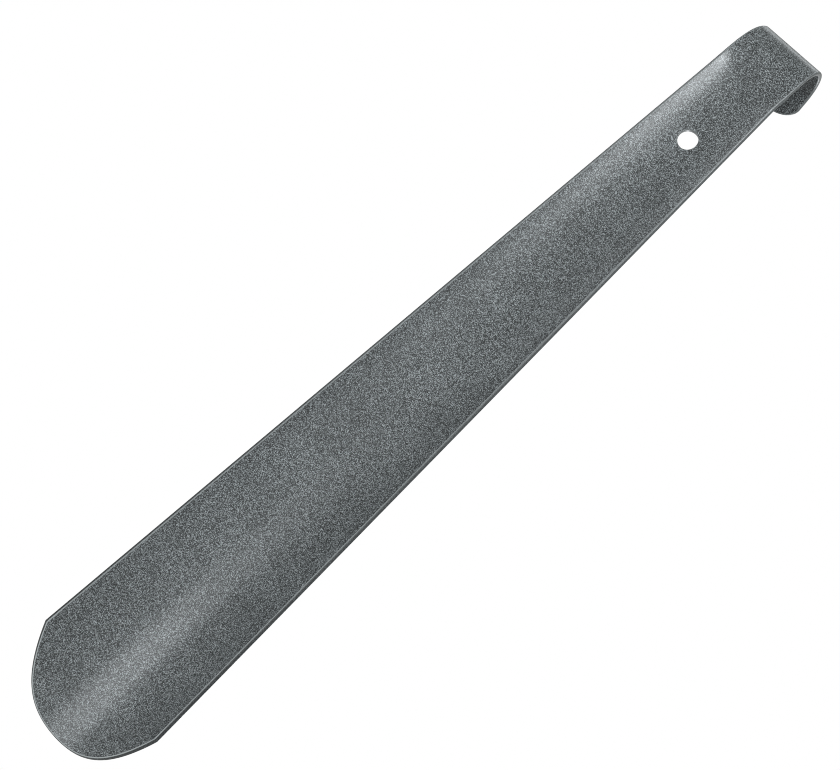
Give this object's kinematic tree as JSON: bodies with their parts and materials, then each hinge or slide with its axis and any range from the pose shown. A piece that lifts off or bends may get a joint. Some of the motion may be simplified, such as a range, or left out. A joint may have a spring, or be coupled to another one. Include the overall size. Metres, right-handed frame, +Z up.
{
  "type": "shoehorn",
  "caption": "Long shoehorn pressed from one tapering strip of coated sheet steel: hollow blade with a rounded end, hanging hole, and the handle end bent back into a hook.",
  "frame": {"origin": "centre of the hanging hole, half way through the sheet", "axes": "+Z up along the handle towards the hook, +X across the width, +Y out of the back, the side the hook curls to; the hollow faces -Y"},
  "size_m": [0.0486, 0.0308, 0.3],
  "materials": {
    "coated_steel": "satin dark grey powder coat with a fine metallic flake"
  },
  "bodies": {
    "root": {"shoehorn_body": "coated_steel"}
  },
  "joints": []
}
